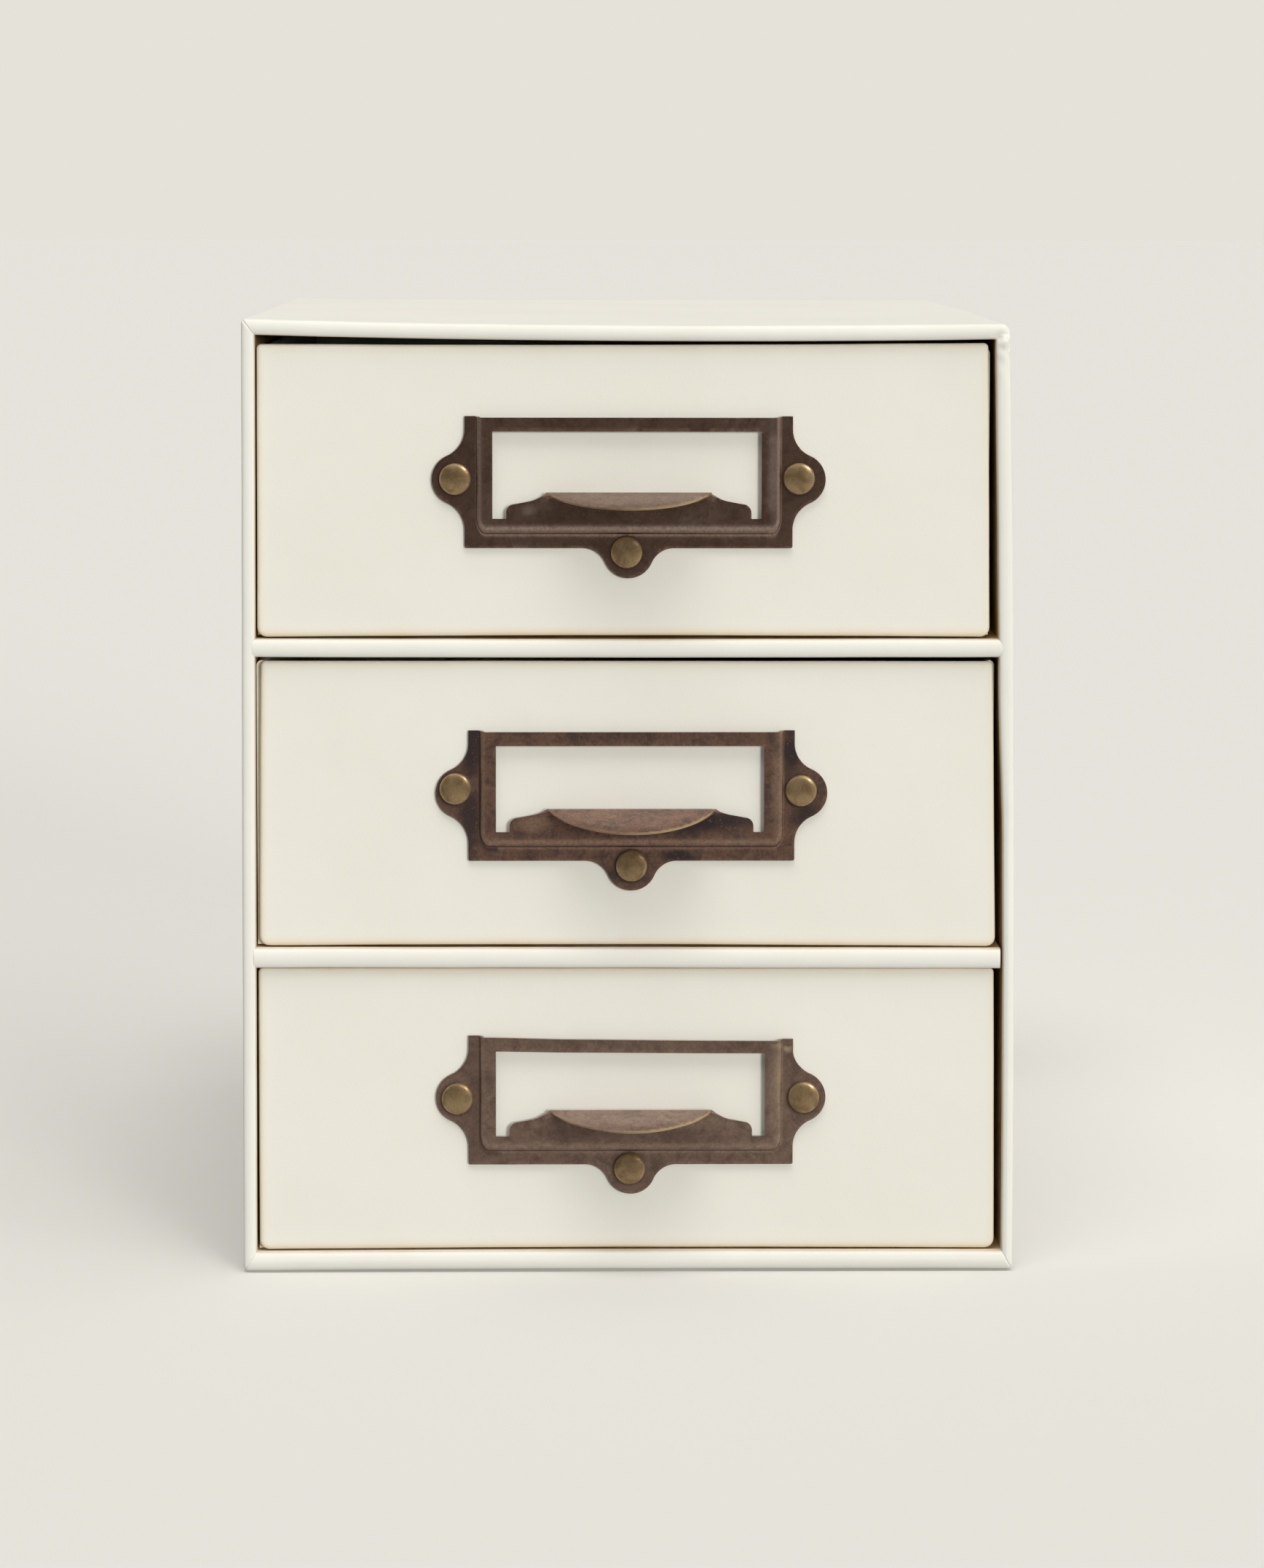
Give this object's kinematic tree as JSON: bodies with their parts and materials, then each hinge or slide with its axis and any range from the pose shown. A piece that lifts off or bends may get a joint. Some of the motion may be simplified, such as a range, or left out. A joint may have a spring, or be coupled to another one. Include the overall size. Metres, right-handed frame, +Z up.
{
  "type": "desktop drawer chest",
  "caption": "Small paper-covered board chest of equal drawers, each with a pressed metal label holder whose bent lip is the pull.",
  "frame": {"origin": "middle of the base's flat underside, on the surface that the chest stands on", "axes": "+Z up, -Y out of the drawer fronts, +X to the right as seen from the front"},
  "size_m": [0.175, 0.2526, 0.216],
  "materials": {
    "case_paper": "ivory paper over grey board, matt with a faint sheen",
    "drawer_paper": "ivory paper over grey board, matt, warm at the folds",
    "holder_metal": "pressed sheet steel with a dark antique bronze finish, brighter where edges are worn",
    "rivet_metal": "antique brass, satin"
  },
  "bodies": {
    "case": {"side_panel_left": "case_paper", "side_panel_right": "case_paper", "top_panel": "case_paper", "bottom_panel": "case_paper", "shelf_lower": "case_paper", "shelf_upper": "case_paper", "back_panel": "case_paper"},
    "lower_drawer": {"lower_drawer_front": "drawer_paper", "lower_drawer_back": "drawer_paper", "lower_drawer_side_left": "drawer_paper", "lower_drawer_side_right": "drawer_paper", "lower_drawer_floor": "drawer_paper", "lower_label_holder": "holder_metal", "lower_rivet_left": "rivet_metal", "lower_rivet_right": "rivet_metal", "lower_rivet_bottom": "rivet_metal", "lower_rivet_cap_left": "rivet_metal", "lower_rivet_cap_right": "rivet_metal", "lower_rivet_cap_bottom": "rivet_metal"},
    "middle_drawer": {"middle_drawer_front": "drawer_paper", "middle_drawer_back": "drawer_paper", "middle_drawer_side_left": "drawer_paper", "middle_drawer_side_right": "drawer_paper", "middle_drawer_floor": "drawer_paper", "middle_label_holder": "holder_metal", "middle_rivet_left": "rivet_metal", "middle_rivet_right": "rivet_metal", "middle_rivet_bottom": "rivet_metal", "middle_rivet_cap_left": "rivet_metal", "middle_rivet_cap_right": "rivet_metal", "middle_rivet_cap_bottom": "rivet_metal"},
    "upper_drawer": {"upper_drawer_front": "drawer_paper", "upper_drawer_back": "drawer_paper", "upper_drawer_side_left": "drawer_paper", "upper_drawer_side_right": "drawer_paper", "upper_drawer_floor": "drawer_paper", "upper_label_holder": "holder_metal", "upper_rivet_left": "rivet_metal", "upper_rivet_right": "rivet_metal", "upper_rivet_bottom": "rivet_metal", "upper_rivet_cap_left": "rivet_metal", "upper_rivet_cap_right": "rivet_metal", "upper_rivet_cap_bottom": "rivet_metal"}
  },
  "joints": [
    {"name": "lower_drawer_slide", "type": "slide", "parent": "case", "child": "lower_drawer", "axis": [0, -1, 0], "range_m": [0, 0.2]},
    {"name": "middle_drawer_slide", "type": "slide", "parent": "case", "child": "middle_drawer", "axis": [0, -1, 0], "range_m": [0, 0.2]},
    {"name": "upper_drawer_slide", "type": "slide", "parent": "case", "child": "upper_drawer", "axis": [0, -1, 0], "range_m": [0, 0.2]}
  ]
}
